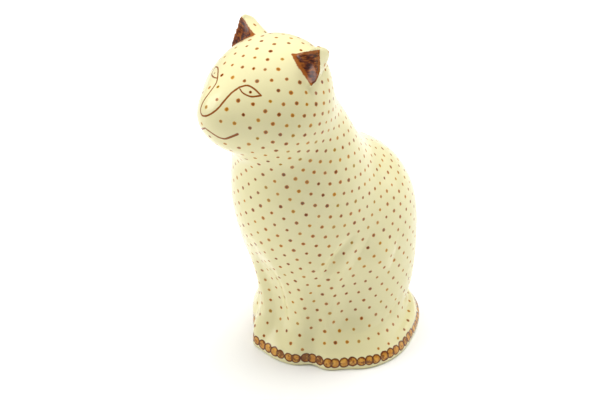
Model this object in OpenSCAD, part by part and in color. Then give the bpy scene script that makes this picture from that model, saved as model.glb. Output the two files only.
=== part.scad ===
// Hollow slip-cast stoneware cat, sitting upright on a lobed plinth.
// The cat faces -Y and its left side is +X. The origin is the centre of
// the plinth's underside, and Z = 0 is the shelf that it stands on.
//
// The skin is one smooth surface made of named rounded masses that melt
// into each other. Each mass has a centre and a half-size, in the cat's
// own frame, and paired masses give the cat's left one.

/* [Figure] */
// Cat's middle plane, measured from the plinth's centre
cat_x = -3; // [-5:0.5:3]
// Cat's own zero, measured from the plinth's centre
cat_y = 2; // [-2:0.5:4]
// Thickness of the cast wall
wall = 4.5; // [3:0.5:6]
// Height of the plane where the head is luted to the trunk
neck_joint_z = 126; // [123:1:129]
// Turn of the head, positive to the cat's left
head_turn = -8; // [-15:1:8]

/* [Smoothness] */
// How far the big masses of the trunk melt into each other
trunk_blend = 9; // [6:0.5:11]
// How far the legs melt into the trunk
leg_blend = 4.5; // [3:0.5:6]
// How far the parts of the head melt into each other
head_blend = 5; // [3:0.5:6]
// How far the head melts into the trunk
neck_blend = 6; // [4:0.5:8]

/* [Ears] */
// Thickness of the ear at its foot, from the panel to its back
ear_depth = 14; // [10:0.5:15]
// Lean of the ear's back towards the crown, as a slope
ear_lean = 0.35; // [0:0.05:0.5]
// Width of the ear at its tip
ear_tip_width = 4; // [3:0.5:5]
// Thickness of the ear at its tip
ear_tip_depth = 9; // [6:0.5:10]
// Height of the rounded top above the tip of the panel
ear_tip_rise = 2.2; // [1:0.2:2.6]
// How far the ear's outer edge bows outward
ear_bow = 2.4; // [0:0.2:3]
// Depth of the hollow in the front panel
ear_dish = 1.4; // [0.6:0.1:1.8]

/* [Tail] */
// Bearing of the tail's root, from straight ahead to the cat's left
tail_from = 192; // [175:1:200]
// Bearing of the tail's tip
tail_to = 66; // [60:1:90]
// Distance of the tail's root from the plinth's centre
tail_root_reach = 38; // [37:0.5:39]
// Distance of the tail's tip from the plinth's centre
tail_tip_reach = 42.5; // [41:0.5:43]
// Tail radius at the root
tail_root_r = 6.5; // [5.5:0.5:7]
// Tail radius near the tip
tail_tip_r = 3; // [2.5:0.5:4]
// Height of the tail's centre line at the root
tail_root_z = 9.5; // [9:0.5:11]
// Height of the tail's centre line at the tip
tail_tip_z = 6; // [5.5:0.5:7]

/* [Plinth] */
// Mean radius of the lobed outline
plinth_r = 48.5; // [48:0.5:50]
// Thickness of the slab, which is the plain band under the border
plinth_h = 3; // [2.5:0.5:4]
// Height of the shoulder where the figure's flare starts
rim_z = 6.5; // [5.5:0.5:8]
// Slope of the flare above the shoulder
flare_slope = 1.1; // [0.9:0.1:1.4]
// How far the figure melts into the flare
flare_blend = 2.5; // [2:0.5:4]
// Small rounding under the slab's edge
foot_bevel = 0.6; // [0.3:0.1:1]
// Diameter of the kiln vent through the slab
vent_d = 8; // [5:0.5:12]
// Distance of the kiln vent behind the plinth's centre
vent_y = 16; // [12:1:24]

/* [Hidden] */
// Centre and half-size of each mass of the trunk, in the cat's own frame
chest_at = [0, -29.5, 92];
chest_size = [32.5, 32.5, 42];
back_at = [0, 4, 70];
back_size = [36, 38.5, 37];
rump_at = [0, 6.5, 36];
rump_size = [33.5, 34.5, 45];
neck_at = [-1, -32, 124];
neck_size = [21, 20.5, 22];
// Ends of the left foreleg's centre line, and the radius at each
foreleg_top = [13, -32, 62];
foreleg_foot = [12.5, -31, 8];
foreleg_top_r = 15;
foreleg_foot_r = 10.5;
// Centre and half-size of each other mass of the left legs
paw_at = [13, -38, 6];
paw_size = [10, 10, 9];
thigh_at = [22, 4, 36];
thigh_size = [15, 25, 34];
hind_foot_at = [27, -11, 8];
hind_foot_size = [12, 20, 12];

// Point that the head turns about, in the cat's own frame. The head's
// masses and the ears are measured from it, along and across the face.
head_pivot = [0, -29];
skull_at = [0, -19.5, 148];
skull_size = [29.5, 24, 23];
crown_at = [0, -10.5, 159];
crown_size = [21.5, 18.5, 14.5];
cheek_at = [11, -20.5, 143];
cheek_size = [17, 20, 15];
muzzle_at = [0, -38.5, 145];
muzzle_size = [12, 15, 11];
bridge_at = [0, -35, 148];
bridge_size = [7, 18, 9];
chin_at = [0, -31, 138.5];
chin_size = [10, 13, 7];
// Corners of the left ear's front panel
ear_inner = [15.2, -15.6, 172.5];
ear_tip = [27.5, -12.8, 177.2];
ear_outer = [30.2, -18, 162.5];
// How far the outer edge bows back for each millimetre outward
ear_bow_back = 0.4;
// Least height of the ear's lowest ring above the skull
ear_root = 0.3;

// Bearing, half-width and depth of each dip in the plinth's outline,
// in degrees and millimetres. A negative depth is a lobe.
outline_dips = [
    [-3, 16, -2],
    [-20, 6, -3],
    [24, 5, 3],
    [-30, 5, 2.5],
    [47, 8, 2],
    [112, 28, 3.6],
    [-56, 22, 3.5],
    [180, 40, 1.5]
];
// Width of the rounded shoulder where the flare meets the slab
shoulder = 1.5;
// Above this height the skin leans in from the plinth's outline, by this
// much for each millimetre that it rises
lean_z = 9;
lean = 2.5;

// Points around each ring of the skin
around = 72;
// Rings up the trunk, outside and inside
trunk_rings = 36;
trunk_inner_rings = 12;
// Rings up the head, outside and inside
head_rings = 26;
head_inner_rings = 10;
// Halvings of the search along each ray
search_steps = 13;
// Crowding of the trunk's rings towards the shoulder of the plinth
ring_crowding = 1.3;
// Trunk rings that the tail can touch
tail_zone_rings = 9;
// Points across an ear's front and across its back
ear_across = 10;
// Rings across an ear's foot on the skull, up the ear and over its top
ear_foot_rings = 3;
ear_rings = 8;
ear_top_rings = 4;
// Points around the tail and sections along it
tail_around = 20;
tail_sections = 26;
// Half of the tail's tip and root that is rounded off, as a fraction
tail_round = 0.06;
// No part of the skin is further than this from its ring's centre
search_reach = 70;
// Sides of the kiln vent
vent_sides = 48;
glaze_cream = "#efe9c9";
ear_brown = "#7a2f12";
bare_clay = "#d9cdb0";

// Point inside the skull from which the head's rings are drawn
skull_centre = head_to_figure([0, -17, 147]);
// Centre of the joint between the trunk and the head
neck_centre = [cat_x + neck_at.x, cat_y + head_pivot.y];

// ---- the skin as a function: negative inside, about the distance ----

function mirrored(p) = [-p.x, p.y, p.z];

// Signed distance to an ellipsoid, close to its surface
function mass(p, at, size) =
    let(q = p - at)
    let(k = norm([q.x / size.x, q.y / size.y, q.z / size.z]))
    let(g = norm([q.x / size.x ^ 2, q.y / size.y ^ 2, q.z / size.z ^ 2]))
    k * (k - 1) / max(g, 0.001);

// Signed distance to a limb that tapers from one end to the other
function limb(p, from, to, r_from, r_to) =
    let(v = to - from)
    let(t = min(1, max(0, (p - from) * v / (v * v))))
    norm(p - from - t * v) - r_from - (r_to - r_from) * t;

// Smooth union: the smaller distances win and melt over the width k
function melt(gaps, k) =
    let(least = min(gaps))
    let(weights = [for (g = gaps) exp((least - g) / k)])
    least - k * ln(weights * [for (w = weights) 1]);

// Smallest turn between two bearings
function turn_between(a, b) = abs(((a - b) % 360 + 540) % 360 - 180);

// Radius of the plinth's outline at a bearing from straight ahead
function outline_r(bearing) =
    let(dips = [for (d = outline_dips) d[2] * exp(-(turn_between(bearing, d[0]) / d[1]) ^ 2)])
    plinth_r - dips * [for (d = dips) 1];

function head_to_figure(p) =
    [
        cat_x + head_pivot.x + p.x * cos(head_turn) - p.y * sin(head_turn),
        cat_y + head_pivot.y + p.x * sin(head_turn) + p.y * cos(head_turn),
        p.z
    ];

function figure_to_head(p) =
    let(x = p.x - cat_x - head_pivot.x)
    let(y = p.y - cat_y - head_pivot.y)
    [x * cos(head_turn) + y * sin(head_turn), y * cos(head_turn) - x * sin(head_turn), p.z];

function trunk_gap(p) =
    melt([
        mass(p, chest_at, chest_size),
        mass(p, back_at, back_size),
        mass(p, rump_at, rump_size),
        mass(p, neck_at, neck_size)
    ], trunk_blend);

function one_side_gaps(p) =
    [
        limb(p, foreleg_top, foreleg_foot, foreleg_top_r, foreleg_foot_r),
        mass(p, paw_at, paw_size),
        mass(p, thigh_at, thigh_size),
        mass(p, hind_foot_at, hind_foot_size)
    ];

function head_gap(p) =
    melt([
        mass(p, skull_at, skull_size),
        mass(p, crown_at, crown_size),
        mass(p, cheek_at, cheek_size),
        mass(mirrored(p), cheek_at, cheek_size),
        mass(p, muzzle_at, muzzle_size),
        mass(p, bridge_at, bridge_size),
        mass(p, chin_at, chin_size)
    ], head_blend);

// The skirt that flares from the figure out to the plinth's rim
function flare_gap(over_rim, z) =
    max(over_rim, (over_rim + shoulder + (z - rim_z) * flare_slope) / norm([1, flare_slope]));

function figure_gap(p) =
    let(own = p - [cat_x, cat_y, 0])
    let(legs = concat(one_side_gaps(own), one_side_gaps(mirrored(own))))
    let(body = melt(concat([trunk_gap(own)], legs), leg_blend))
    let(whole = melt([body, head_gap(figure_to_head(p))], neck_blend))
    let(over_rim = norm([p.x, p.y]) - outline_r(atan2(p.x, -p.y)))
    let(flared = melt([whole, flare_gap(over_rim, p.z)], flare_blend))
    max(flared, over_rim - lean * max(p.z - lean_z, 0));

// Distance along a ray, from inside, at which the skin's gap is level
function reach(from, way, level, low = 0, high = search_reach, steps = search_steps) =
    let(middle = (low + high) / 2)
    steps == 0 ? middle :
    figure_gap(from + middle * way) < level
        ? reach(from, way, level, middle, high, steps - 1)
        : reach(from, way, level, low, middle, steps - 1);

function on_skin(from, way, level) = from + reach(from, way, level) * way;

// ---- rings of points on the skin ----

function bearing_way(i) = [sin(i * 360 / around), -cos(i * 360 / around), 0];

// One level ring of the trunk, a fraction of the rings up to the neck
function trunk_ring(share, level) =
    let(up = share ^ ring_crowding)
    let(at = [neck_centre.x * up, neck_centre.y * up, plinth_h + (neck_joint_z - plinth_h) * up])
    [for (i = [0 : around - 1]) on_skin(at, bearing_way(i), level)];

// The head's rings start on the trunk's top ring and rise to the crown
function head_ways(start, up) =
    [
        for (p = start)
            let(d = p - skull_centre)
            let(low = atan2(d.z, norm([d.x, d.y])))
            let(tilt = low + (90 - low) * up)
            let(flat = [d.x, d.y, 0] / norm([d.x, d.y]))
            cos(tilt) * flat + [0, 0, sin(tilt)]
    ];

function head_ring(start, up, level) =
    [for (way = head_ways(start, up)) on_skin(skull_centre, way, level)];

function flat_list(rings) = [for (ring = rings) for (p = ring) p];

// Middle of a ring of points
function ring_middle(ring) = [for (p = ring) 1 / len(ring)] * ring;

// Faces between neighbouring rings of n points, from a first point
function band_faces(first, bands, n = around) =
    [
        for (r = [0 : bands - 1])
            for (i = [0 : n - 1])
                let(j = (i + 1) % n)
                let(a = first + r * n)
                let(b = a + n)
                for (face = [[a + i, b + i, a + j], [a + j, b + i, b + j]]) face
    ];

// The same faces seen from the other side
function turned(faces) = [for (f = faces) [f[0], f[2], f[1]]];

// Flat band that joins an outer ring to an inner one, facing down
function lip_faces(outer, inner) =
    [
        for (i = [0 : around - 1])
            let(j = (i + 1) % around)
            for (face = [[outer + i, outer + j, inner + i], [outer + j, inner + j, inner + i]]) face
    ];

// Cap from a ring to one point above it
function fan_faces(ring, apex, n = around) =
    [for (i = [0 : n - 1]) [ring + i, apex, ring + (i + 1) % n]];

// Closed solid through stacked rings, from a bottom point to a top point
module stacked_rings(rings, bottom, top) {
    n = len(rings[0]);
    count = len(rings);
    apex = n * count;
    polyhedron(
        points = concat(flat_list(rings), [top, bottom]),
        faces = concat(
            band_faces(0, count - 1, n),
            fan_faces(n * (count - 1), apex, n),
            turned(fan_faces(0, apex + 1, n))
        )
    );
}

// ---- the pieces ----

// Trunk: chest, back, haunches and legs as one open shell
module trunk() {
    outer = [for (k = [0 : trunk_rings]) trunk_ring(k / trunk_rings, 0)];
    inner = [for (k = [0 : trunk_inner_rings]) trunk_ring(k / trunk_inner_rings, -wall)];
    first_inner = around * (trunk_rings + 1);
    last_inner = first_inner + around * trunk_inner_rings;
    color(glaze_cream)
    polyhedron(
        points = concat(flat_list(outer), flat_list(inner)),
        faces = concat(
            band_faces(0, trunk_rings),
            turned(band_faces(first_inner, trunk_inner_rings)),
            lip_faces(0, first_inner),
            turned(lip_faces(around * trunk_rings, last_inner))
        )
    );
}

// Head with the upper neck, open below
module head() {
    rim_out = trunk_ring(1, 0);
    rim_in = trunk_ring(1, -wall);
    outer = [for (k = [1 : head_rings - 1]) head_ring(rim_out, k / head_rings, 0)];
    inner = [for (k = [1 : head_inner_rings - 1]) head_ring(rim_in, k / head_inner_rings, -wall)];
    crown_out = on_skin(skull_centre, [0, 0, 1], 0);
    crown_in = on_skin(skull_centre, [0, 0, 1], -wall);
    first_inner = around * head_rings;
    last_inner = first_inner + around * (head_inner_rings - 1);
    apex = around * (head_rings + head_inner_rings);
    color(glaze_cream)
    polyhedron(
        points = concat(
            rim_out,
            flat_list(outer),
            rim_in,
            flat_list(inner),
            [crown_out, crown_in]
        ),
        faces = concat(
            band_faces(0, head_rings - 1),
            fan_faces(around * (head_rings - 1), apex),
            turned(band_faces(first_inner, head_inner_rings - 1)),
            turned(fan_faces(last_inner, apex + 1)),
            lip_faces(0, first_inner)
        )
    );
}

// Ear: side is 1 for the cat's left ear and -1 for its right one
module ear(side) {
    corners = [for (c = [ear_inner, ear_outer, ear_tip]) head_to_figure([side * c.x, c.y, c.z])];
    outward = (corners[1] - corners[0]) / norm(corners[1] - corners[0]);
    square_on = cross(corners[1] - corners[0], corners[2] - corners[0]);
    back = square_on / norm(square_on) * (square_on.y > 0 ? 1 : -1);

    // Steps across the front from the inner corner, then round behind it:
    // how far outward, and how far back
    across = concat(
        [for (k = [0 : ear_across - 1]) [k / ear_across, 0]],
        [for (k = [0 : ear_across - 1]) let(out = 1 - k / ear_across) [out, sin(180 * out)]]
    );
    foot_line = [
        for (a = across)
            corners[0] + a[0] * (corners[1] - corners[0]) + a[1] * ear_depth * (back - ear_lean * outward)
    ];
    foot = [for (p = foot_line) on_skin(skull_centre, (p - skull_centre) / norm(p - skull_centre), 0)];
    top = [
        for (a = across)
            corners[2] + (a[0] - 0.5) * ear_tip_width * outward + a[1] * ear_tip_depth * back
    ];
    dish = [for (a = across) (a[1] > 0 ? 0 : sin(180 * a[0])) * ear_dish * back];
    bow = [for (a = across) a[0] ^ 2 * ear_bow * (outward + ear_bow_back * back)];
    foot_middle = ring_middle(foot);
    top_middle = ring_middle(top);

    // The front corners stand a little off the skull
    root = [
        for (i = [0 : len(foot) - 1])
            let(out = foot[i] - skull_centre)
            let(gap = norm(foot_line[i] - skull_centre) - norm(out))
            foot[i] + out / norm(out) * max(ear_root, (1 - across[i][1]) * gap)
    ];

    // Rings on the skull under the ear, up its sides and over its rounded top
    under = [
        for (r = [1 : ear_foot_rings])
            [
                for (p = foot)
                    let(q = foot_middle + (p - foot_middle) * r / (ear_foot_rings + 1) - skull_centre)
                    on_skin(skull_centre, q / norm(q), 0)
            ]
    ];
    above = [
        for (r = [0 : ear_rings])
            let(t = r / ear_rings)
            [
                for (i = [0 : len(root) - 1])
                    root[i] + t * (top[i] - root[i]) + 4 * t * (1 - t) * (dish[i] + bow[i])
            ]
    ];
    over = [
        for (r = [1 : ear_top_rings - 1])
            let(turn = 90 * r / ear_top_rings)
            [
                for (p = top)
                    top_middle + (p - top_middle) * cos(turn) + [0, 0, ear_tip_rise * sin(turn)]
            ]
    ];
    heart = on_skin(skull_centre, (foot_middle - skull_centre) / norm(foot_middle - skull_centre), 0);
    rings = concat(under, [foot], above, over);
    ordered = side > 0 ? rings : [for (ring = rings) [for (k = [len(ring) - 1 : -1 : 0]) ring[k]]];
    color(ear_brown)
    stacked_rings(ordered, heart, top_middle + [0, 0, ear_tip_rise]);
}

// One round section of the tail, a fraction of the way from root to tip
function tail_section(along) =
    let(bearing = tail_from + (tail_to - tail_from) * along)
    let(out = tail_root_reach + (tail_tip_reach - tail_root_reach) * along ^ 2)
    let(z = tail_root_z + (tail_tip_z - tail_root_z) * along)
    let(end = min(along, 1 - along) / tail_round)
    let(r = (tail_root_r + (tail_tip_r - tail_root_r) * along) * sqrt(1 - (1 - min(1, end)) ^ 2))
    [
        for (k = [0 : tail_around - 1])
            let(a = k * 360 / tail_around)
            let(d = out + r * cos(a))
            [d * sin(bearing), -d * cos(bearing), z + r * sin(a)]
    ];

// Lower trunk without its hollow, for trimming the tail to fit it
module trunk_foot() {
    rings = [for (k = [0 : tail_zone_rings]) trunk_ring(k / trunk_rings, 0)];
    stacked_rings(rings, ring_middle(rings[0]), ring_middle(rings[tail_zone_rings]));
}

// Tail: a low coil laid round the cat's left side, pressed on to the flare.
// resize() with no new size keeps the trimmed coil as a single mesh.
module tail() {
    sections = [for (k = [1 : tail_sections - 1]) tail_section(k / tail_sections)];
    color(glaze_cream)
    resize([0, 0, 0])
    difference() {
        intersection() {
            stacked_rings(sections, ring_middle(sections[0]), ring_middle(sections[tail_sections - 2]));
            translate([0, 0, plinth_h]) plinth_slice(0, 2 * tail_root_z + tail_root_r);
        }
        trunk_foot();
    }
}

module plinth_slice(inset, h) {
    bearings = [0 : 360 / around : 359];
    linear_extrude(height = h)
    polygon([for (b = bearings) (outline_r(b) - inset) * [sin(b), -cos(b)]]);
}

// Plinth: the slab that closes the casting, with its kiln vent
module plinth() {
    color(bare_clay)
    difference() {
        union() {
            plinth_slice(foot_bevel, plinth_h);
            translate([0, 0, foot_bevel]) plinth_slice(0, plinth_h - foot_bevel);
        }
        translate([0, vent_y, -1]) cylinder(d = vent_d, h = plinth_h + 2, $fn = vent_sides);
    }
}

module ear_left() {
    ear(1);
}

module ear_right() {
    ear(-1);
}

trunk();
head();
ear_left();
ear_right();
tail();
plinth();
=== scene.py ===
"""A glazed stoneware cat on a lobed plinth, stamped all over with small brown dots.

The skin is grown from the CAD shells: their outer walls are closed, merged and smoothed
into one surface, carved with the soft creases of a slip casting, and cut into the same
pieces as the CAD model. The stamps and brush lines are laid out on that surface in code
and passed to the glaze as attributes, so they stay crisp at any distance.
"""

import math

import bmesh
import bpy
import numpy as np
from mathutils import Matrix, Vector
from mathutils.bvhtree import BVHTree
from mathutils.kdtree import KDTree


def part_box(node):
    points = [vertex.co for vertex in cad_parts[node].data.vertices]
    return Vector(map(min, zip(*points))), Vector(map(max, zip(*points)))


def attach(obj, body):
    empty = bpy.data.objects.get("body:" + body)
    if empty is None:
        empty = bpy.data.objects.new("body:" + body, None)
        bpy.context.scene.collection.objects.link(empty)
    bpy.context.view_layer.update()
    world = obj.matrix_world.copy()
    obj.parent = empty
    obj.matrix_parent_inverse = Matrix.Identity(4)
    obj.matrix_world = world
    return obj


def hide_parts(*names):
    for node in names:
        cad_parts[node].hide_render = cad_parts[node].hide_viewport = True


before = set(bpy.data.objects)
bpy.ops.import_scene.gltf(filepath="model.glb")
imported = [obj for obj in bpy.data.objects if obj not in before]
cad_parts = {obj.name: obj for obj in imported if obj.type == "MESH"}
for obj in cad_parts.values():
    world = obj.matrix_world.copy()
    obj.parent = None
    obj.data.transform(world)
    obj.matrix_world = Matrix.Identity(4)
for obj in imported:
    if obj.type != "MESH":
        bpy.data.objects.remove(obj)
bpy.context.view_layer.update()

MM = 0.001

# The grid that the parts are merged on, and the gap that is welded shut
VOXEL = 0.65 * MM
WELD = 0.01 * MM

# Smoothing: rounds after merging and after carving, and the share of it that the ears get
MERGED_ROUNDS = 6
CARVED_ROUNDS = 4
EAR_HOLD = 0.45

# The ears and the tail: where they are as close as this to the skin they are pushed in, and
# the join is then smoothed over, to a distance for each of them
TOUCHING = 0.25 * MM
JOIN_DEPTH = 2.5 * MM
JOIN_ROUNDS = 14
JOIN_REACH = {"ear_left": 1.3 * MM, "ear_right": 1.3 * MM, "tail": 2.2 * MM}

# Where the skin is cut into pieces
NECK_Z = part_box("head")[0].z
FOOT_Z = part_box("trunk")[0].z
PIECES = ("trunk", "head", "ear_left", "ear_right", "tail", "plinth")

# The head's own frame, as in the CAD source: a pivot and a turn about the vertical
HEAD_PIVOT = np.array([-3.0, -27.0, 0.0]) * MM
HEAD_TURN = math.radians(-8)

# Corners of the left ear's front panel, in the head's frame, in millimetres
EAR_CORNERS = {
    "inner": (15.2, -15.6, 172.5),
    "outer": (30.2, -18, 162.5),
    "tip": (27.5, -12.8, 177.2),
}

# How far from the plane of its corners the panel reaches, how far its outer edge is pushed
# out, and how far from its edges the dots keep
PANEL_REACH = 3.6 * MM
PANEL_BOW = 1.8 * MM
PANEL_CLEAR = 1.8 * MM

# The kiln vent in the underside
VENT_AT = (0.0, 16 * MM)
VENT_R = 4 * MM
VENT_FLARE = 0.6 * MM
VENT_DEPTH = 22 * MM

# The foot: its bevel, as insets with their heights, and the recess inside the ring it stands on
FOOT_BEVEL = ((0, 0.9 * MM), (0.25 * MM, 0.35 * MM), (0.9 * MM, 0))
FOOT_RING = 6.5 * MM
RECESS_SLOPE = 1.0 * MM
RECESS_Z = 0.7 * MM

# The dots: the place of the first one, their size, and their pitch, which changes at the neck
DOT_SEED = (20 * MM, -52 * MM, 85 * MM)
DOT_R = 0.92 * MM
DOT_PITCH_BODY = 6.5 * MM
DOT_PITCH_HEAD = 6.2 * MM
PITCH_CHANGE_Z = 118 * MM
PITCH_CHANGE_HEIGHT = 14 * MM

# The room that a dot needs, and the distance at which two push each other apart, as shares
# of the pitch
DOT_ROOM = 0.72
DOT_PUSH_REACH = 1.25
DOT_PUSH = 0.16
DOT_PUSH_ROUNDS = 5

# The slope of the rows of dots round the body, in degrees: a mean and a sway about it,
# with how fast it changes with the turn round the body and where it starts
ROW_SLOPE = -9
ROW_SWAY = 20
ROW_SWAY_WAVES = 1.3
ROW_SWAY_START = 0.9

# The border of rings, and a distance from the axis that is outside the plinth
BORDER_Z = 4.8 * MM
RING_R = 2.75 * MM
RING_PITCH = 4.4 * MM
OUTSIDE = 90 * MM

# How far the dots keep from the brush lines, the eyes' middles and the edge of a ring
LINE_CLEAR = 2.1 * MM
EYE_CLEAR = 3.2 * MM
RING_CLEAR = 1.3 * MM


def from_head(point):
    """A point of the head's frame, in millimetres, as a point of the row frame in metres."""
    x, y, z = point
    c, s = math.cos(HEAD_TURN), math.sin(HEAD_TURN)
    return HEAD_PIVOT + np.array([x * c - y * s, x * s + y * c, z]) * MM


# ---------------------------------------------------------------- the skin


def node_bmesh(name):
    """A welded copy of a CAD node's mesh."""
    bm = bmesh.new()
    bm.from_mesh(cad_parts[name].data)
    bmesh.ops.remove_doubles(bm, verts=bm.verts, dist=WELD)
    bm.normal_update()
    return bm


def islands(bm):
    """The connected groups of faces, as lists."""
    seen, groups = set(), []
    for start in bm.faces:
        if start in seen:
            continue
        seen.add(start)
        group, stack = [], [start]
        while stack:
            face = stack.pop()
            group.append(face)
            for edge in face.edges:
                for other in edge.link_faces:
                    if other not in seen:
                        seen.add(other)
                        stack.append(other)
        groups.append(group)
    return groups


def outer_wall(name):
    """A hollow CAD node without its flat lips and its inner wall."""
    bm = node_bmesh(name)
    lips = [
        f
        for f in bm.faces
        if abs(f.normal.z) > 0.999
        and min(abs(f.calc_center_median().z - z) for z in (NECK_Z, FOOT_Z)) < WELD
    ]
    bmesh.ops.delete(bm, geom=lips, context="FACES")
    groups = islands(bm)

    def spread(group):
        xs = [v.co.x for f in group for v in f.verts]
        return max(xs) - min(xs)

    outer = max(groups, key=spread)
    spare = [f for g in groups if g is not outer for f in g]
    bmesh.ops.delete(bm, geom=spare, context="FACES")
    return bm


def add_ring(bm, points):
    return [bm.verts.new(p) for p in points]


def bridge(bm, lower, upper):
    """A band of faces between two rings with the same number of points."""
    n = len(lower)
    for i in range(n):
        j = (i + 1) % n
        bm.faces.new((lower[i], lower[j], upper[j], upper[i]))


def close_underside(bm):
    """Carries the trunk's lowest ring down to the foot, across the recess and up the vent."""
    rim = [v for v in bm.verts if abs(v.co.z - FOOT_Z) < WELD and v.is_boundary]
    rim.sort(key=lambda v: math.atan2(v.co.y, v.co.x))
    outline = [v.co.copy() for v in rim]
    middle = Vector((VENT_AT[0], VENT_AT[1], 0))

    def inset(depth, z):
        ring = []
        for p in outline:
            flat = Vector((p.x, p.y, 0))
            ring.append(flat * (1 - depth / flat.length) + Vector((0, 0, z)))
        return ring

    def vent_ring(z, radius=VENT_R):
        ring = []
        for p in outline:
            way = (Vector((p.x, p.y, 0)) - middle).normalized()
            ring.append(middle + way * radius + Vector((0, 0, z)))
        return ring

    levels = [
        *(inset(depth, z) for depth, z in FOOT_BEVEL),
        inset(FOOT_RING, 0),
        inset(FOOT_RING + RECESS_SLOPE, RECESS_Z),
        vent_ring(RECESS_Z, VENT_R + VENT_FLARE),
        vent_ring(RECESS_Z + VENT_FLARE),
        vent_ring(VENT_DEPTH),
    ]
    below = rim
    for points in levels:
        ring = add_ring(bm, points)
        bridge(bm, ring, below)
        below = ring
    cap = bm.verts.new(middle + Vector((0, 0, VENT_DEPTH)))
    n = len(below)
    for i in range(n):
        bm.faces.new((below[(i + 1) % n], below[i], cap))


def add_copy(bm, other):
    """Adds a copy of another bmesh to one."""
    mesh = bpy.data.meshes.new("copy")
    other.to_mesh(mesh)
    bm.from_mesh(mesh)
    bpy.data.meshes.remove(mesh)


def smooth_skin():
    """Trunk and head as one closed, subdivided bmesh."""
    bm = outer_wall("trunk")
    add_copy(bm, outer_wall("head"))
    bmesh.ops.remove_doubles(bm, verts=bm.verts, dist=WELD)
    close_underside(bm)
    bmesh.ops.recalc_face_normals(bm, faces=bm.faces)
    bmesh.ops.join_triangles(
        bm, faces=bm.faces, angle_face_threshold=math.pi, angle_shape_threshold=math.pi
    )
    return modified(bm, "SUBSURF", levels=1, render_levels=1)


def modified(bm, kind, **settings):
    """A bmesh with a modifier applied, through a short-lived object. It frees the one given."""
    mesh = bpy.data.meshes.new("cage")
    bm.to_mesh(mesh)
    bm.free()
    obj = bpy.data.objects.new("cage", mesh)
    bpy.context.scene.collection.objects.link(obj)
    modifier = obj.modifiers.new("change", kind)
    for setting, value in settings.items():
        setattr(modifier, setting, value)
    made = bpy.data.meshes.new_from_object(
        obj.evaluated_get(bpy.context.evaluated_depsgraph_get())
    )
    bpy.data.objects.remove(obj)
    bpy.data.meshes.remove(mesh)
    out = bmesh.new()
    out.from_mesh(made)
    bpy.data.meshes.remove(made)
    return out


def sunk_part(name, skin_tree):
    """A part that is set on the skin. The side that touches is pushed in, so that they overlap."""
    bm = node_bmesh(name)
    for v in bm.verts:
        _, normal, _, gap = skin_tree.find_nearest(v.co)
        if gap < TOUCHING:
            v.co = v.co - normal * JOIN_DEPTH
    return bm


def voxel_union(parts):
    """One closed surface round all the parts."""
    whole = bmesh.new()
    for part in parts:
        add_copy(whole, part)
    bm = modified(whole, "REMESH", mode="VOXEL", voxel_size=VOXEL, adaptivity=0)
    groups = islands(bm)
    main = max(groups, key=len)
    bmesh.ops.delete(bm, geom=[f for g in groups if g is not main for f in g], context="FACES")
    return bm


def co_array(bm):
    return np.array([v.co for v in bm.verts], float)


def set_co(bm, co):
    for v, p in zip(bm.verts, co):
        v.co = p


def edge_array(bm):
    bm.verts.index_update()
    return np.array([(e.verts[0].index, e.verts[1].index) for e in bm.edges])


def neighbour_mean(co, edges):
    """The mean place of each vertex's neighbours."""
    a, b = edges[:, 0], edges[:, 1]
    n = len(co)
    count = np.bincount(a, minlength=n) + np.bincount(b, minlength=n)
    total = np.stack(
        [
            np.bincount(a, weights=co[b, k], minlength=n)
            + np.bincount(b, weights=co[a, k], minlength=n)
            for k in range(co.shape[1])
        ],
        axis=1,
    )
    return total / count[:, None]


def relaxed(co, edges, steps, weight=1.0):
    """Smoothing that keeps the volume: a step in and a slightly longer step out."""
    for _ in range(steps):
        for share in (0.5, -0.52):
            co = co + share * weight * (neighbour_mean(co, edges) - co)
    return co


def softened(co, edges, steps, weight):
    """Plain smoothing, by weights for each vertex. It fills creases and rounds edges."""
    for _ in range(steps):
        co = co + 0.5 * weight[:, None] * (neighbour_mean(co, edges) - co)
    return co


def vertex_normals(bm):
    bm.normal_update()
    return np.array([v.normal for v in bm.verts], float)


def gaps_to(tree, co):
    """The distance of each point to a surface."""
    return np.array([tree.find_nearest(Vector(p))[3] for p in co])


def near_part(points, name, pad):
    """Which points are inside a CAD part's box, grown by a pad on every side."""
    low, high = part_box(name)
    return np.all((points > np.array(low) - pad) & (points < np.array(high) + pad), axis=1)


def tree_of(bm):
    return BVHTree.FromBMesh(bm)


def curve_through(points, step):
    """Points along a smooth curve through the given ones, about a step apart."""
    p = np.array(points, float)
    p = np.vstack([2 * p[0] - p[1], p, 2 * p[-1] - p[-2]])
    out = []
    for a, b, c, d in zip(p[:-3], p[1:-2], p[2:-1], p[3:]):
        n = max(2, int(math.ceil(np.linalg.norm(c - b) / step)))
        for t in np.arange(n) / n:
            out.append(
                0.5
                * (
                    2 * b
                    + (c - a) * t
                    + (2 * a - 5 * b + 4 * c - d) * t * t
                    + (3 * b - a - 3 * c + d) * t**3
                )
            )
    out.append(p[-2])
    return np.array(out)


def segment_distance(points, a, b):
    """Distance of each point to the segment from a to b, and how far along it that is."""
    way = b - a
    t = np.clip((points - a) @ way / max(way @ way, 1e-18), 0, 1)
    return np.linalg.norm(points - a - t[:, None] * way, axis=1), t


def path_distance(points, path):
    """Distance to a polyline, and the fraction of its length at the nearest place."""
    best = np.full(len(points), 1e9)
    at = np.zeros(len(points))
    n = len(path) - 1
    for i in range(n):
        d, t = segment_distance(points, path[i], path[i + 1])
        near = d < best
        best[near], at[near] = d[near], (i + t[near]) / n
    return best, at


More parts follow.
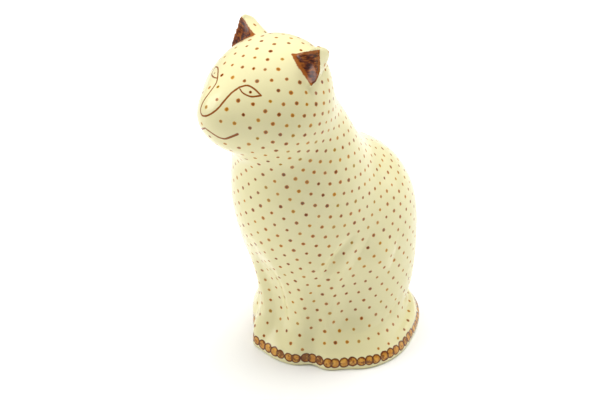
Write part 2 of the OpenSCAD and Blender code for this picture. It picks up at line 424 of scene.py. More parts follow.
# Creases (pressed in) and ridges (raised), in millimetres of the row frame:
# a path along each from its upper or front end, then its half-width and its height
FORELEG_GAP = (
    [
        (-8, -57, 75),
        (-8, -54.5, 65.9),
        (-11, -46.3, 48.8),
        (-9.3, -42.8, 32.7),
        (-7.8, -42.2, 22.4),
        (-4, -47, 4),
    ],
    4.2,
    -1.2,
)
FORELEG_RIDGE = (
    [
        (2.4, -57, 76),
        (2.4, -55, 66),
        (2, -47.5, 50.4),
        (2.5, -43, 38.8),
        (3, -41.5, 29.1),
        (4, -42.5, 20.7),
        (6, -47, 8),
    ],
    4.0,
    1.1,
)
HAUNCH_CREASE = (
    [
        (32.5, -25, 79),
        (30.7, -30.8, 72.7),
        (29.1, -34.1, 68.4),
        (27, -36.8, 62.4),
        (23.5, -38.7, 52.4),
        (22, -39.5, 44),
    ],
    2.7,
    -1.8,
)
PAW_CREASE = (
    [(25, -38, 57), (22, -39, 46), (20.1, -39.1, 31.1), (20.2, -39.2, 22.6), (23.5, -43, 2)],
    2.6,
    -1.4,
)
PAW_HOLLOW = ([(24, -39, 60), (21.5, -39.5, 40), (19.5, -40, 21), (20, -44, -4)], 7.0, -3.4)
HAUNCH_RIDGE = (
    [(32, -24, 76), (30.4, -28.7, 65.3), (28.6, -30.2, 58.2), (26.1, -32.5, 49.3), (24, -34, 36)],
    4.0,
    0.9,
)
HAUNCH_TOP = ([(32.5, -20, 66), (34.5, -14, 62.5), (36.5, -7, 59), (37.5, 1, 56)], 9.0, 2.6)
HIND_PAW = ([(25.5, -33, 40), (25.5, -34, 25), (27.5, -36, 10)], 4.0, 1.3)
TAIL_VALLEY = (
    [
        (25, -31, 21),
        (32.6, -21.9, 17.5),
        (36.1, -13.8, 16.7),
        (36.6, -1, 18),
        (35.5, 6.9, 21.8),
        (35.6, 12, 28),
    ],
    2.8,
    -1.1,
)

# The plane that the cat's sides mirror in, and the distance from the middle of its path
# within which a crease or ridge is felt
MIRROR_X = -3
RELIEF_REACH = 70 * MM


def mirrored(stroke):
    """The same crease or ridge on the cat's other side."""
    points, width, height = stroke
    return [(2 * MIRROR_X - x, y, z) for x, y, z in points], width, height


SIDE_RELIEF = [HAUNCH_CREASE, PAW_CREASE, PAW_HOLLOW, HAUNCH_RIDGE, HAUNCH_TOP, HIND_PAW]
RELIEF = [FORELEG_GAP, FORELEG_RIDGE, TAIL_VALLEY]
RELIEF += SIDE_RELIEF + [mirrored(stroke) for stroke in SIDE_RELIEF]


def carve(co, normals):
    """Presses the creases in and raises the ridges, fading at both ends of each."""
    deepest = np.zeros(len(co))
    highest = np.zeros(len(co))
    for points, width, height in RELIEF:
        path = curve_through(np.array(points, float) * MM, 2 * MM)
        near = np.linalg.norm(co - path.mean(0), axis=1) < RELIEF_REACH
        d, t = path_distance(co[near], path)
        fade = np.maximum(np.sin(math.pi * t), 0) ** 0.8
        shape = height * MM * fade * np.exp(-((d / (width * MM)) ** 2))
        deepest[near] = np.minimum(deepest[near], shape)
        highest[near] = np.maximum(highest[near], shape)
    return co + normals * (deepest + highest)[:, None]


def make_skin():
    """The finished surface, cut at the neck and the foot, and search trees of what made it up."""
    skin = smooth_skin()
    skin_tree = tree_of(skin)
    parts = {name: sunk_part(name, skin_tree) for name in JOIN_REACH}
    part_trees = {name: tree_of(bm) for name, bm in parts.items()}
    bm = voxel_union([skin, *parts.values()])
    co, edges = co_array(bm), edge_array(bm)
    in_ear = near_part(co, "ear_left", 1 * MM) | near_part(co, "ear_right", 1 * MM)
    hold = np.where(in_ear, EAR_HOLD, 1.0)[:, None]
    co = relaxed(co, edges, MERGED_ROUNDS, hold)

    # The clay is smoothed over where an ear or the tail is set on the body
    weight = np.zeros(len(co))
    to_skin = gaps_to(skin_tree, co)
    for name, tree in part_trees.items():
        near = near_part(co, name, 6 * MM)
        gap = gaps_to(tree, co[near])
        closeness = np.exp(-(gap**2 + to_skin[near] ** 2) / JOIN_REACH[name] ** 2)
        weight[near] = np.maximum(weight[near], closeness)
    co = softened(co, edges, JOIN_ROUNDS, weight)
    set_co(bm, co)
    co = carve(co, vertex_normals(bm))
    co = relaxed(co, edges, CARVED_ROUNDS, hold)
    set_co(bm, co)
    for z in (FOOT_Z, NECK_Z):
        bmesh.ops.bisect_plane(
            bm,
            geom=[*bm.verts, *bm.edges, *bm.faces],
            dist=0.02 * MM,
            plane_co=(0, 0, z),
            plane_no=(0, 0, 1),
        )
    bm.normal_update()
    return bm, part_trees, skin_tree


# ---------------------------------------------------------------- dots and lines


def kd_tree(spots):
    kd = KDTree(len(spots))
    for i, p in enumerate(spots):
        kd.insert(p, i)
    kd.balance()
    return kd


def on_skin(tree, point):
    """The place on the skin nearest to a point, and the way that the skin faces there."""
    spot, normal, _, _ = tree.find_nearest(Vector(point))
    return np.array(spot), np.array(normal)


# The brush lines of the face, in millimetres of the head's frame. One line runs from the
# left eye down the nose, across it and up to the right eye.
INNER_LEFT = (9.1, -42.6, 162)
OUTER_LEFT = (18.7, -37.9, 159.8)
INNER_RIGHT = (-5.2, -44.3, 162.2)
OUTER_RIGHT = (-16.4, -37.3, 162.3)
LEFT_UPPER_LID = [INNER_LEFT, (11.6, -40, 162.9), (15, -38.6, 161.8), OUTER_LEFT]
LEFT_LOWER_LID = [(9.8, -43, 161.6), (11.9, -42.8, 160.1), (15.5, -41.1, 159.1), OUTER_LEFT]
RIGHT_UPPER_LID = [INNER_RIGHT, (-7.9, -42, 163), (-12, -38.8, 163.4), OUTER_RIGHT]
RIGHT_LOWER_LID = [INNER_RIGHT, (-9, -43.4, 160.9), (-14.6, -40.7, 160.4), OUTER_RIGHT]
NOSE = [
    INNER_LEFT,
    (7.7, -46.1, 159.6),
    (7.2, -50, 156.7),
    (6.6, -53, 153.9),
    (4.8, -55.2, 151.4),
    (2.1, -57, 149.5),
    (-0.9, -56.9, 148.9),
    (-3, -56.4, 150.6),
    (-3.3, -54.7, 153.9),
    (-2.7, -51, 157.7),
    (-3.1, -46.9, 160.8),
    INNER_RIGHT,
]
MOUTH_LEFT = [
    (1.2, -57, 143),
    (4.3, -55.7, 141.5),
    (7.4, -53.8, 139.5),
    (9.7, -52, 139.3),
    (12.5, -50.4, 140.9),
    (14.8, -48.7, 142.5),
]
MOUTH_RIGHT = [(2 * MOUTH_LEFT[0][0] - x, y, z) for x, y, z in MOUTH_LEFT]

# Each line with its half-width at the start and at the end, in millimetres
STROKES = [
    (LEFT_UPPER_LID, 0.44, 0.40),
    (LEFT_LOWER_LID, 0.30, 0.44),
    (RIGHT_UPPER_LID, 0.40, 0.36),
    (RIGHT_LOWER_LID, 0.34, 0.34),
    (NOSE, 0.46, 0.36),
    (MOUTH_LEFT, 0.40, 0.62),
    (MOUTH_RIGHT, 0.40, 0.62),
]
STROKE_STEP = 0.9 * MM
STROKE_DARKNESS = 0.7

# The pupils, with their radii
PUPILS = [((14.3, -40.5, 160.7), 0.75 * MM), ((-11.5, -41.4, 161.8), 0.6 * MM)]


def lines_of_face(tree):
    """The brush lines of the face, as polylines on the skin with a half-width for each point."""
    out = []
    for points, start, end in STROKES:
        path = curve_through([from_head(p) for p in points], STROKE_STEP)
        path = np.array([on_skin(tree, p)[0] for p in path])
        widths = np.linspace(start, end, len(path)) * MM
        out.append((path, widths))
    return out


def stroke_layout(strokes):
    """The ends of every segment of the brush lines, and its half-width and darkness."""
    starts = np.concatenate([path[:-1] for path, _ in strokes])
    ends = np.concatenate([path[1:] for path, _ in strokes])
    widths = np.concatenate([(w[:-1] + w[1:]) / 2 for _, w in strokes])
    looks = [widths, np.full(len(widths), STROKE_DARKNESS), np.zeros(len(widths))]
    return starts, ends, np.stack(looks, axis=1)


def pupils(tree):
    return [(on_skin(tree, from_head(place))[0], radius) for place, radius in PUPILS]


def border_rings(tree, rng):
    """Centres, radii and tints of the stamped rings on the plinth's shoulder."""
    loop = []
    for turn in np.radians(np.arange(0, 360, 1.0)):
        way = Vector((math.sin(turn), -math.cos(turn), 0))
        hit = tree.ray_cast(way * OUTSIDE + Vector((0, 0, BORDER_Z)), -way)[0]
        loop.append(np.array(hit))
    loop = np.array(loop + loop[:1])
    along = np.concatenate([[0], np.cumsum(np.linalg.norm(np.diff(loop, axis=0), axis=1))])
    count = int(round(along[-1] / RING_PITCH))
    # Stamped by hand, so the spacing, height and size vary a little
    rings = []
    for i in range(count):
        at = (i + 0.13 * rng.uniform(-1, 1)) * along[-1] / count % along[-1]
        spot = np.array([np.interp(at, along, loop[:, k]) for k in range(3)])
        spot[2] += 0.25 * MM * rng.uniform(-1, 1)
        spot, _ = on_skin(tree, spot)
        rings.append((spot, RING_R * rng.uniform(0.93, 1.06), rng.uniform(0, 1)))
    return rings


def panel_frames():
    """Each ear panel's corners and the way its front faces."""
    out = {}
    for name, side in (("ear_left", 1), ("ear_right", -1)):
        corners = [from_head((side * x, y, z)) for x, y, z in EAR_CORNERS.values()]
        normal = np.cross(corners[1] - corners[0], corners[2] - corners[0])
        normal /= np.linalg.norm(normal)
        out[name] = (corners, normal if normal[1] < 0 else -normal)
    return out


def panel_place(points, panel):
    """How far points lie outside each edge of a panel, and in front of its plane."""
    corners, normal = panel
    middle = sum(corners) / 3
    outside = []
    for a, b in zip(corners, corners[1:] + corners[:1]):
        way = np.cross(b - a, normal)
        way /= np.linalg.norm(way)
        if way @ (middle - a) > 0:
            way = -way
        outside.append((points - a) @ way)
    return np.stack(outside, axis=1), (points - middle) @ normal


def row_ways(point, normal):
    """Directions along and up the rows of dots. Below the head the rows slope."""
    slope = 0
    if point[2] < NECK_Z + 8 * MM:
        turn = math.atan2(point[0] - HEAD_PIVOT[0], -point[1])
        sway = math.sin(turn * ROW_SWAY_WAVES - ROW_SWAY_START)
        slope = math.radians(ROW_SLOPE + ROW_SWAY * sway)
    up = np.array([0, 0, 1.0])
    if abs(normal[2]) > 0.97:
        up = np.array([0, 1.0, 0])
    along = np.cross(up, normal)
    along /= np.linalg.norm(along)
    rise = np.cross(normal, along)
    c, s = math.cos(slope), math.sin(slope)
    return along * c + rise * s, rise * c - along * s


def pitch_at(point):
    """The spacing of the dots, which closes up from the body to the head."""
    share = np.clip((point[2] - PITCH_CHANGE_Z) / PITCH_CHANGE_HEIGHT, 0, 1)
    return DOT_PITCH_BODY + (DOT_PITCH_HEAD - DOT_PITCH_BODY) * share


def grow_dots(tree, allowed):
    """Stamped dots in rows: each one gets six neighbours a pitch away, where there is room."""
    spots, normals, cells = [], [], {}
    cell = 5 * MM

    def key(p):
        return tuple(np.floor(p / cell).astype(int))

    def add(p, n):
        spots.append(p)
        normals.append(n)
        cells.setdefault(key(p), []).append(len(spots) - 1)

    add(*on_skin(tree, DOT_SEED))
    shifts = [(i, j, k) for i in (-1, 0, 1) for j in (-1, 0, 1) for k in (-1, 0, 1)]
    front = 0
    while front < len(spots):
        p, n = spots[front], normals[front]
        front += 1
        along, rise = row_ways(p, n)
        pitch = pitch_at(p)
        for k in range(6):
            a = math.radians(60 * k)
            q, _ = on_skin(tree, p + pitch * (math.cos(a) * along + math.sin(a) * rise))
            q, m = on_skin(tree, p + pitch * (q - p) / max(np.linalg.norm(q - p), 1e-9))
            if not allowed(q):
                continue
            base = key(q)
            close = [
                i
                for s in shifts
                for i in cells.get((base[0] + s[0], base[1] + s[1], base[2] + s[2]), ())
            ]
            room = DOT_ROOM * pitch_at(q)
            if any(np.linalg.norm(spots[i] - q) < room for i in close):
                continue
            add(q, m)
    return np.array(spots)


def spread_dots(tree, spots, steps, keep_off):
    """Evens out the spacing: near neighbours push each other apart over the skin."""
    for _ in range(steps):
        kd = kd_tree(spots)
        moved = spots.copy()
        for i, p in enumerate(spots):
            reach = DOT_PUSH_REACH * pitch_at(p)
            push = np.zeros(3)
            for q, j, d in kd.find_range(p, reach):
                if j != i:
                    push += (p - np.array(q)) / max(d, 1e-9) * (reach - d) * DOT_PUSH
            moved[i] = p + push
        for centre, reach in keep_off:
            away = moved - centre
            d = np.linalg.norm(away, axis=1)
            close = d < reach
            way = away[close] / np.maximum(d[close], 1e-9)[:, None]
            moved[close] += way * (reach - d[close])[:, None] * 0.6
        spots = np.array([on_skin(tree, p)[0] for p in moved])
    return spots


# ---------------------------------------------------------------- pieces


def face_labels(bm, part_trees, skin_tree):
    """The piece that each face belongs to, and each face's centre."""
    centres = np.array([f.calc_center_median() for f in bm.faces])
    labels = np.full(len(centres), "trunk", object)
    labels[centres[:, 2] < FOOT_Z] = "plinth"
    labels[centres[:, 2] > NECK_Z] = "head"
    to_skin = gaps_to(skin_tree, centres)
    for name, tree in part_trees.items():
        near = near_part(centres, name, 1 * MM) & (centres[:, 2] > FOOT_Z)
        index = np.nonzero(near)[0]
        gap = gaps_to(tree, centres[index])
        labels[index[gap < to_skin[index]]] = name
    return labels, centres


def nearest(points, spots, count):
    """Indices of the nearest few spots to each point."""
    kd = kd_tree(spots)
    return np.array([[i for _, i, _ in kd.find_n(p, count)] for p in points])


def put(mesh, name, vectors):
    """A vector for each face, stored at its corners so that it doesn't blend across faces."""
    totals = np.zeros(len(mesh.polygons), int)
    mesh.polygons.foreach_get("loop_total", totals)
    spread = np.repeat(np.asarray(vectors, np.float32), totals, axis=0)
    attribute = mesh.attributes.new(name, "FLOAT_VECTOR", "CORNER")
    attribute.data.foreach_set("vector", spread.ravel())


def put_dots(mesh, centres, layout):
    """The dot nearest to each face: its centre and its look."""
    dots, looks = layout["dots"]
    index = nearest(centres, dots, 1)
    put(mesh, "dot_at", dots[index[:, 0]])
    put(mesh, "dot_look", looks[index[:, 0]])


def put_strokes(mesh, centres, layout):
    """The two segments of brush line nearest to each face, and the look of the first."""
    starts, ends, looks = layout["strokes"]
    index = nearest(centres, (starts + ends) / 2, 2)
    for k, tag in enumerate(("first", "second")):
        put(mesh, tag + "_from", starts[index[:, k]])
        put(mesh, tag + "_to", ends[index[:, k]])
    put(mesh, "stroke", looks[index[:, 0]])


def put_rings(mesh, centres, layout):
    """The two border rings nearest to each face, and the look of the first."""
    rings, looks = layout["rings"]
    index = nearest(centres, rings, 2)
    put(mesh, "ring_a", rings[index[:, 0]])
    put(mesh, "ring_b", rings[index[:, 1]])
    put(mesh, "ring_look", looks[index[:, 0]])


def put_panels(mesh, co, normals, panels):
    """Each vertex's place in the panel of the ear on its side, and how far it faces the front."""
    left = co[:, 0] > HEAD_PIVOT[0]
    outside = np.zeros((len(co), 3))
    facing = np.zeros(len(co))
    for side, panel in ((left, panels["ear_left"]), (~left, panels["ear_right"])):
        outside[side], ahead = panel_place(co[side], panel)
        facing[side] = np.where(np.abs(ahead) < PANEL_REACH, normals[side] @ panel[1], -1)
    attribute = mesh.attributes.new("panel", "FLOAT_VECTOR", "POINT")
    attribute.data.foreach_set("vector", outside.astype(np.float32).ravel())
    attribute = mesh.attributes.new("facing", "FLOAT", "POINT")
    attribute.data.foreach_set("value", facing.astype(np.float32))


def build_pieces(bm, labels, centres, layout):
    """Cuts the skin into pieces, each with the attributes that its glaze reads."""
    co = co_array(bm)
    normals = vertex_normals(bm)
    faces = [tuple(v.index for v in f.verts) for f in bm.faces]
    pieces = {}
    for name in PIECES:
        chosen = np.nonzero(labels == name)[0]
        used = np.unique(np.concatenate([faces[i] for i in chosen]))
        renumber = np.full(len(co), -1)
        renumber[used] = np.arange(len(used))
        mesh = bpy.data.meshes.new("glazed_" + name)
        mesh.from_pydata(co[used].tolist(), [], [tuple(renumber[list(faces[i])]) for i in chosen])
        mesh.update()
        mesh.polygons.foreach_set("use_smooth", np.ones(len(mesh.polygons), bool))
        put_dots(mesh, centres[chosen], layout)
        if name == "head":
            put_strokes(mesh, centres[chosen], layout)
        if name in ("trunk", "tail", "plinth"):
            put_rings(mesh, centres[chosen], layout)
        if name in ("head", "ear_left", "ear_right"):
            put_panels(mesh, co[used], normals[used], layout["panels"])
        mesh.normals_split_custom_set_from_vertices(normals[used].tolist())
        obj = bpy.data.objects.new("glazed_" + name, mesh)
        bpy.context.scene.collection.objects.link(obj)
        pieces[name] = obj
    return pieces


# ---------------------------------------------------------------- materials


class Graph:
    """A material's nodes, with short names for those that the glazes use."""

    def __init__(self, name):
        self.material = bpy.data.materials.new(name)
        self.material.use_nodes = True
        self.tree = self.material.node_tree
        self.tree.nodes.clear()
        out = self.tree.nodes.new("ShaderNodeOutputMaterial")
        self.shader = self.tree.nodes.new("ShaderNodeBsdfPrincipled")
        self.tree.links.new(self.shader.outputs[0], out.inputs["Surface"])
        self.place = self.tree.nodes.new("ShaderNodeTexCoord").outputs["Object"]

    def feed(self, socket, value):
        if isinstance(value, bpy.types.NodeSocket):
            self.tree.links.new(value, socket)
        else:
            socket.default_value = value

    def attribute(self, name, output="Vector"):
        """A value that build_pieces stored on the mesh."""
        node = self.tree.nodes.new("ShaderNodeAttribute")
        node.attribute_name = name
        return node.outputs[output]

    def split(self, vector):
        node = self.tree.nodes.new("ShaderNodeSeparateXYZ")
        self.feed(node.inputs[0], vector)
        return node.outputs[0], node.outputs[1], node.outputs[2]

    def math(self, op, *values, clamp=False):
        node = self.tree.nodes.new("ShaderNodeMath")
        node.operation = op
        node.use_clamp = clamp
        for socket, value in zip(node.inputs, values):
            self.feed(socket, value)
        return node.outputs[0]

    def vector(self, op, *values):
        node = self.tree.nodes.new("ShaderNodeVectorMath")
        node.operation = op
        for socket, value in zip([s for s in node.inputs if s.enabled], values):
            self.feed(socket, value)
        return node.outputs["Value" if op in ("LENGTH", "DISTANCE", "DOT_PRODUCT") else "Vector"]

    def scaled(self, vector, factor):
        node = self.tree.nodes.new("ShaderNodeVectorMath")
        node.operation = "SCALE"
        self.feed(node.inputs[0], vector)
        self.feed(node.inputs["Scale"], factor)
        return node.outputs["Vector"]

    def step(self, value, start, end, low=0.0, high=1.0):
        """Smooth step of a value from low at start to high at end."""
        node = self.tree.nodes.new("ShaderNodeMapRange")
        node.interpolation_type = "SMOOTHSTEP"
        for socket, v in zip(node.inputs, (value, start, end, low, high)):
            self.feed(socket, v)
        return node.outputs[0]

    def noise(self, size, detail=2, where=None):
        """Noise from 0 to 1, with features of a size in the units of its coordinates."""
        node = self.tree.nodes.new("ShaderNodeTexNoise")
        self.feed(node.inputs["Vector"], where or self.place)
        node.inputs["Scale"].default_value = 1 / size
        node.inputs["Detail"].default_value = detail
        return node.outputs[0]

    def wobbled(self, value, size, amount):
        """A value moved up and down by noise, by half the amount each way."""
        shift = self.math("MULTIPLY", self.math("SUBTRACT", self.noise(size), 0.5), amount)
        return self.math("ADD", value, shift)

    def weighted(self, mask, share):
        """A mask thinned to a share of itself."""
        return self.math("MULTIPLY", mask, share)

    def mix(self, share, a, b):
        """A colour that goes from a to b as the share goes from 0 to 1."""
        node = self.tree.nodes.new("ShaderNodeMix")
        node.data_type = "RGBA"
        sockets = [s for s in node.inputs if s.enabled]
        self.feed(sockets[0], share)
        for socket, value in zip(sockets[1:], (a, b)):
            self.feed(socket, (*value, 1) if isinstance(value, tuple) else value)
        return next(s for s in node.outputs if s.enabled)

    def ramp(self, value, stops):
        """A colour along a row of stops, each a place from 0 to 1 with its colour."""
        node = self.tree.nodes.new("ShaderNodeValToRGB")
        self.feed(node.inputs[0], value)
        elements = node.color_ramp.elements
        while len(elements) < len(stops):
            elements.new(0.5)
        for element, (at, colour) in zip(elements, stops):
            element.position = at
            element.color = (*colour, 1)
        return node.outputs[0]

    def bump(self, height, strength, distance):
        node = self.tree.nodes.new("ShaderNodeBump")
        node.inputs["Strength"].default_value = strength
        node.inputs["Distance"].default_value = distance
        self.feed(node.inputs["Height"], height)
        return node.outputs[0]


CREAM = (0.77, 0.715, 0.41)
CREAM_WARM = (0.75, 0.685, 0.36)
SPECK_BROWN = (0.45, 0.30, 0.12)
LINE_BROWN = (0.17, 0.036, 0.002)
RUST = (0.48, 0.15, 0.004)
RING_LINE = (0.13, 0.028, 0.004)
RING_BLOT = (0.14, 0.028, 0.004)
MAROON = (0.07, 0.012, 0.006)
PANEL_EDGE = (0.36, 0.10, 0.006)
FLOOR_GREY = (0.93, 0.93, 0.92)
FLOOR_WHITE = (0.95, 0.95, 0.94)

# Colours along a value from 0 to 1: the tint of a dot's rim and of its heart, the clouding
# inside a ring, and the brush marks on an ear
DOT_RIMS = [
    (0.0, (0.42, 0.115, 0.003)),
    (0.45, (0.60, 0.22, 0.004)),
    (0.75, (0.64, 0.32, 0.010)),
    (1.0, (0.48, 0.31, 0.015)),
]
DOT_HEARTS = [
    (0.0, (0.08, 0.013, 0.001)),
    (0.45, (0.20, 0.040, 0.001)),
    (0.75, (0.38, 0.12, 0.002)),
    (1.0, (0.26, 0.12, 0.004)),
]
RING_FIELD = [(0.3, (0.48, 0.17, 0.014)), (0.7, (0.74, 0.40, 0.07))]
EAR_BROWNS = [
    (0.34, (0.030, 0.004, 0.001)),
    (0.52, (0.11, 0.019, 0.002)),
    (0.70, (0.34, 0.10, 0.006)),
]

# Streaks on an ear per metre, across each of the panel's three edges
STREAKS = (150, 420, 1100)
ROUGHNESS = 0.2
GLAZE_IOR = 1.42


def cream_glaze(g):
    """Cream glaze with faint clouding and a few iron specks."""
    cloud = g.step(g.noise(26 * MM, 3), 0.35, 0.65)
    base = g.mix(g.weighted(cloud, 0.35), CREAM, CREAM_WARM)
    elsewhere = g.vector("ADD", g.place, (0.3, 0.1, 0.2))
    speck = g.step(g.noise(0.9 * MM, 1, elsewhere), 0.77, 0.83)
    return g.mix(g.weighted(speck, 0.25), base, SPECK_BROWN)


def dotted(g, base):
    """Lays the nearest stamped dot over a colour."""
    radius, tint, strength = g.split(g.attribute("dot_look"))
    d = g.vector("DISTANCE", g.place, g.attribute("dot_at"))
    edge = g.math("DIVIDE", g.wobbled(d, 0.8 * MM, 0.5 * MM), radius)
    mask = g.step(edge, 1.14, 0.84)
    core = g.step(edge, 0.88, 0.35)
    paint = g.mix(core, g.ramp(tint, DOT_RIMS), g.ramp(tint, DOT_HEARTS))
    return g.mix(g.weighted(mask, strength), base, paint)


def stroke_distance(g, tag):
    """Distance to a segment whose ends are stored on the face."""
    a, b = g.attribute(tag + "_from"), g.attribute(tag + "_to")
    way = g.vector("SUBTRACT", b, a)
    ahead = g.vector("SUBTRACT", g.place, a)
    length_squared = g.vector("DOT_PRODUCT", way, way)
    t = g.math("DIVIDE", g.vector("DOT_PRODUCT", ahead, way), length_squared, clamp=True)
    return g.vector("LENGTH", g.vector("SUBTRACT", ahead, g.scaled(way, t)))


def brushed_lines(g, base):
    """Lays the brush lines of the face over a colour."""
    width, dark, _ = g.split(g.attribute("stroke"))
    d = g.math("MINIMUM", stroke_distance(g, "first"), stroke_distance(g, "second"))
    edge = g.math("DIVIDE", g.wobbled(d, 1.4 * MM, 0.22 * MM), width)
    mask = g.step(edge, 1.2, 0.85)
    return g.mix(mask, base, g.mix(dark, RUST, LINE_BROWN))


def one_ring(g, tag, radius, base, tint):
    """One stamped ring: a dark outline round an ochre field with a brush mark in it."""
    d = g.math("DIVIDE", g.vector("DISTANCE", g.place, g.attribute(tag)), radius)
    d = g.wobbled(d, 1.6 * MM, 0.22)
    inside = g.step(d, 1.05, 0.97)
    outline = g.step(d, 0.62, 0.80)
    elsewhere = g.vector("ADD", g.place, (0.05, 0.02, 0.07))
    mark = g.math("ADD", g.noise(1.5 * MM, 2, elsewhere), g.weighted(tint, 0.22))
    blot = g.step(mark, 0.60, 0.74)
    field = g.ramp(g.noise(2.2 * MM), RING_FIELD)
    field = g.mix(g.weighted(blot, 0.8), field, RING_BLOT)
    field = g.mix(g.weighted(outline, 0.92), field, RING_LINE)
    return g.mix(inside, base, field), inside


def ringed(g, base):
    """Lays the two nearest rings of the border over a colour, dark where they overlap."""
    radius, tint, _ = g.split(g.attribute("ring_look"))
    second, in_b = one_ring(g, "ring_b", radius, base, tint)
    first, in_a = one_ring(g, "ring_a", radius, second, tint)
    both = g.weighted(in_a, in_b)
    return g.mix(g.weighted(both, 0.6), first, MAROON)


def panelled(g, base):
    """Brown brushwork on the front of an ear, inside its rim."""
    first, second, third = g.split(g.attribute("panel"))
    bowed = g.math("SUBTRACT", second, PANEL_BOW)
    outside = g.math("SMOOTH_MAX", first, bowed, 0.5 * MM)
    outside = g.math("SMOOTH_MAX", outside, third, 0.5 * MM)
    outside = g.wobbled(outside, 1.6 * MM, 0.7 * MM)
    front = g.step(g.attribute("facing", "Fac"), 0.15, 0.3)
    mask = g.weighted(g.step(outside, 0.7 * MM, 0.4 * MM), front)
    streaks = g.noise(1, 3, g.vector("MULTIPLY", g.attribute("panel"), STREAKS))
    edge = g.step(outside, -1.1 * MM, -0.3 * MM)
    brown = g.mix(g.weighted(edge, 0.75), g.ramp(streaks, EAR_BROWNS), PANEL_EDGE)
    return g.mix(mask, base, brown)


def glaze(name, layers):
    """Glossy cream glaze with layers of paint on it, over clay that is faintly uneven."""
    g = Graph(name)
    colour = cream_glaze(g)
    for layer in layers:
        colour = layer(g, colour)
    g.feed(g.shader.inputs["Base Color"], colour)
    g.shader.inputs["Roughness"].default_value = ROUGHNESS
    g.shader.inputs["IOR"].default_value = GLAZE_IOR
    wave = g.math("ADD", g.noise(9 * MM), g.weighted(g.noise(1.2 * MM), 0.12))
    g.feed(g.shader.inputs["Normal"], g.bump(wave, 0.5, 0.25 * MM))
    return g.material


def floor_material():
    g = Graph("pale_floor")
    soft = g.step(g.noise(0.4), 0.3, 0.7)
    g.feed(g.shader.inputs["Base Color"], g.mix(soft, FLOOR_GREY, FLOOR_WHITE))
    g.shader.inputs["Roughness"].default_value = 0.6
    return g.material


# ---------------------------------------------------------------- stage


# The camera: its angles round and above the cat, its distance and what it looks at, in metres
CAMERA_TURN = math.radians(42)
CAMERA_RISE = math.radians(29)
CAMERA_FAR = 0.6
CAMERA_TARGET = Vector((-3, -26.8, 85)) * MM
CAMERA_LENS = 71.4
CAMERA_SENSOR = 36

# Each soft light: its place and the diameter of its disk in metres, its power in watts, and
# whether the glaze mirrors it
LIGHTS = {
    "top": ((-0.1, 0.3, 1.3), 1.6, 21, False),
    "left": ((-0.75, -0.82, 0.85), 0.9, 7.5, True),
    "right": ((0.63, 0.96, 0.5), 0.9, 3, True),
}
LIGHT_TARGET = (0, -0.02, 0.08)
SKY_STRENGTH = 0.38
FLOOR_SIZE = 8


def aim(obj, target):
    """Points an object's -Z axis at a target."""
    obj.rotation_mode = "QUATERNION"
    obj.rotation_quaternion = (Vector(target) - obj.location).to_track_quat("-Z", "Y")


def add_camera():
    data = bpy.data.cameras.new("camera")
    data.lens = CAMERA_LENS
    data.sensor_width = CAMERA_SENSOR
    data.clip_start, data.clip_end = 0.05, 20
    camera = bpy.data.objects.new("camera", data)
    bpy.context.scene.collection.objects.link(camera)
    level = math.cos(CAMERA_RISE)
    way = Vector(
        (math.sin(CAMERA_TURN) * level, -math.cos(CAMERA_TURN) * level, math.sin(CAMERA_RISE))
    )
    camera.location = CAMERA_TARGET + CAMERA_FAR * way
    aim(camera, CAMERA_TARGET)
    bpy.context.scene.camera = camera


def add_light(name, place, size, power, mirrored_in_glaze):
    data = bpy.data.lights.new(name, "AREA")
    data.shape = "DISK"
    data.size = size
    data.energy = power
    light = bpy.data.objects.new(name, data)
    light.location = place
    light.visible_glossy = mirrored_in_glaze
    bpy.context.scene.collection.objects.link(light)
    aim(light, LIGHT_TARGET)


def add_floor():
    bpy.ops.mesh.primitive_plane_add(size=FLOOR_SIZE, location=(0, 0, 0))
    floor = bpy.context.object
    floor.name = "floor"
    floor.data.materials.append(floor_material())


def add_sky():
    """Even white light from all round."""
    world = bpy.data.worlds.new("studio")
    world.use_nodes = True
    background = world.node_tree.nodes["Background"]
    background.inputs["Color"].default_value = (1, 1, 1, 1)
    background.inputs["Strength"].default_value = SKY_STRENGTH
    bpy.context.scene.world = world


# ---------------------------------------------------------------- build

rng = np.random.default_rng(7)
skin, part_trees, skin_tree = make_skin()
labels, centres = face_labels(skin, part_trees, skin_tree)
tree = tree_of(skin)

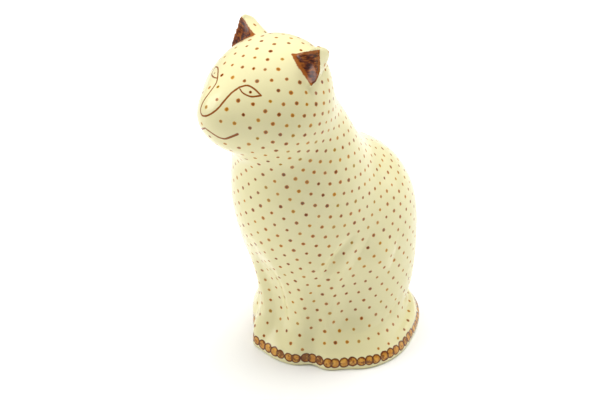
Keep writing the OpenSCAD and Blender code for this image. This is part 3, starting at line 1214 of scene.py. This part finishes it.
strokes = lines_of_face(tree)
rings = border_rings(tree, rng)
panels = panel_frames()
eye_spots = pupils(tree)

# What the dots keep clear of: places with a radius each
keep_off = [(spot, RING_R + RING_CLEAR) for spot, _, _ in rings]
keep_off += [(p, LINE_CLEAR) for path, _ in strokes for p in path[::2]]
keep_off += [(spot, EYE_CLEAR) for spot, _ in eye_spots]


def allowed(point):
    """Whether a dot may be stamped at a place on the skin."""
    if point[2] < BORDER_Z:
        return False
    for panel in panels.values():
        outside, ahead = panel_place(point[None], panel)
        if outside.max() < PANEL_CLEAR and abs(ahead[0]) < PANEL_REACH:
            return False
    for spot, reach in keep_off:
        if abs(point[0] - spot[0]) < reach and np.linalg.norm(point - spot) < reach:
            return False
    return True


dots = grow_dots(tree, allowed)
dots = spread_dots(tree, dots, DOT_PUSH_ROUNDS, keep_off)
dots = np.array([p for p in dots if allowed(p)])

# A dot's look is its radius, its tint and how well it took
looks = np.stack(
    [
        DOT_R * rng.uniform(0.85, 1.12, len(dots)),
        rng.beta(1.3, 1.5, len(dots)),
        rng.uniform(0.88, 1.0, len(dots)),
    ],
    axis=1,
)

# The pupils are dots too, of the darkest tint
dots = np.vstack([dots, [spot for spot, _ in eye_spots]])
looks = np.vstack([looks, [(radius, 0.0, 1.0) for _, radius in eye_spots]])

ring_spots = np.array([spot for spot, _, _ in rings])
ring_looks = np.array([(radius, tint, 0) for _, radius, tint in rings])
layout = {
    "dots": (dots, looks),
    "strokes": stroke_layout(strokes),
    "rings": (ring_spots, ring_looks),
    "panels": panels,
}
pieces = build_pieces(skin, labels, centres, layout)

layers = {
    "trunk": [dotted, ringed],
    "head": [dotted, brushed_lines, panelled],
    "ear_left": [dotted, panelled],
    "ear_right": [dotted, panelled],
    "tail": [dotted, ringed],
    "plinth": [ringed],
}
for name, piece in pieces.items():
    piece.data.materials.append(glaze("glaze_" + name, layers[name]))
    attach(piece, "root")
    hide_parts(name)

add_camera()
add_floor()
add_sky()
for name, light in LIGHTS.items():
    add_light(name, *light)
bpy.context.scene.view_settings.view_transform = "Standard"
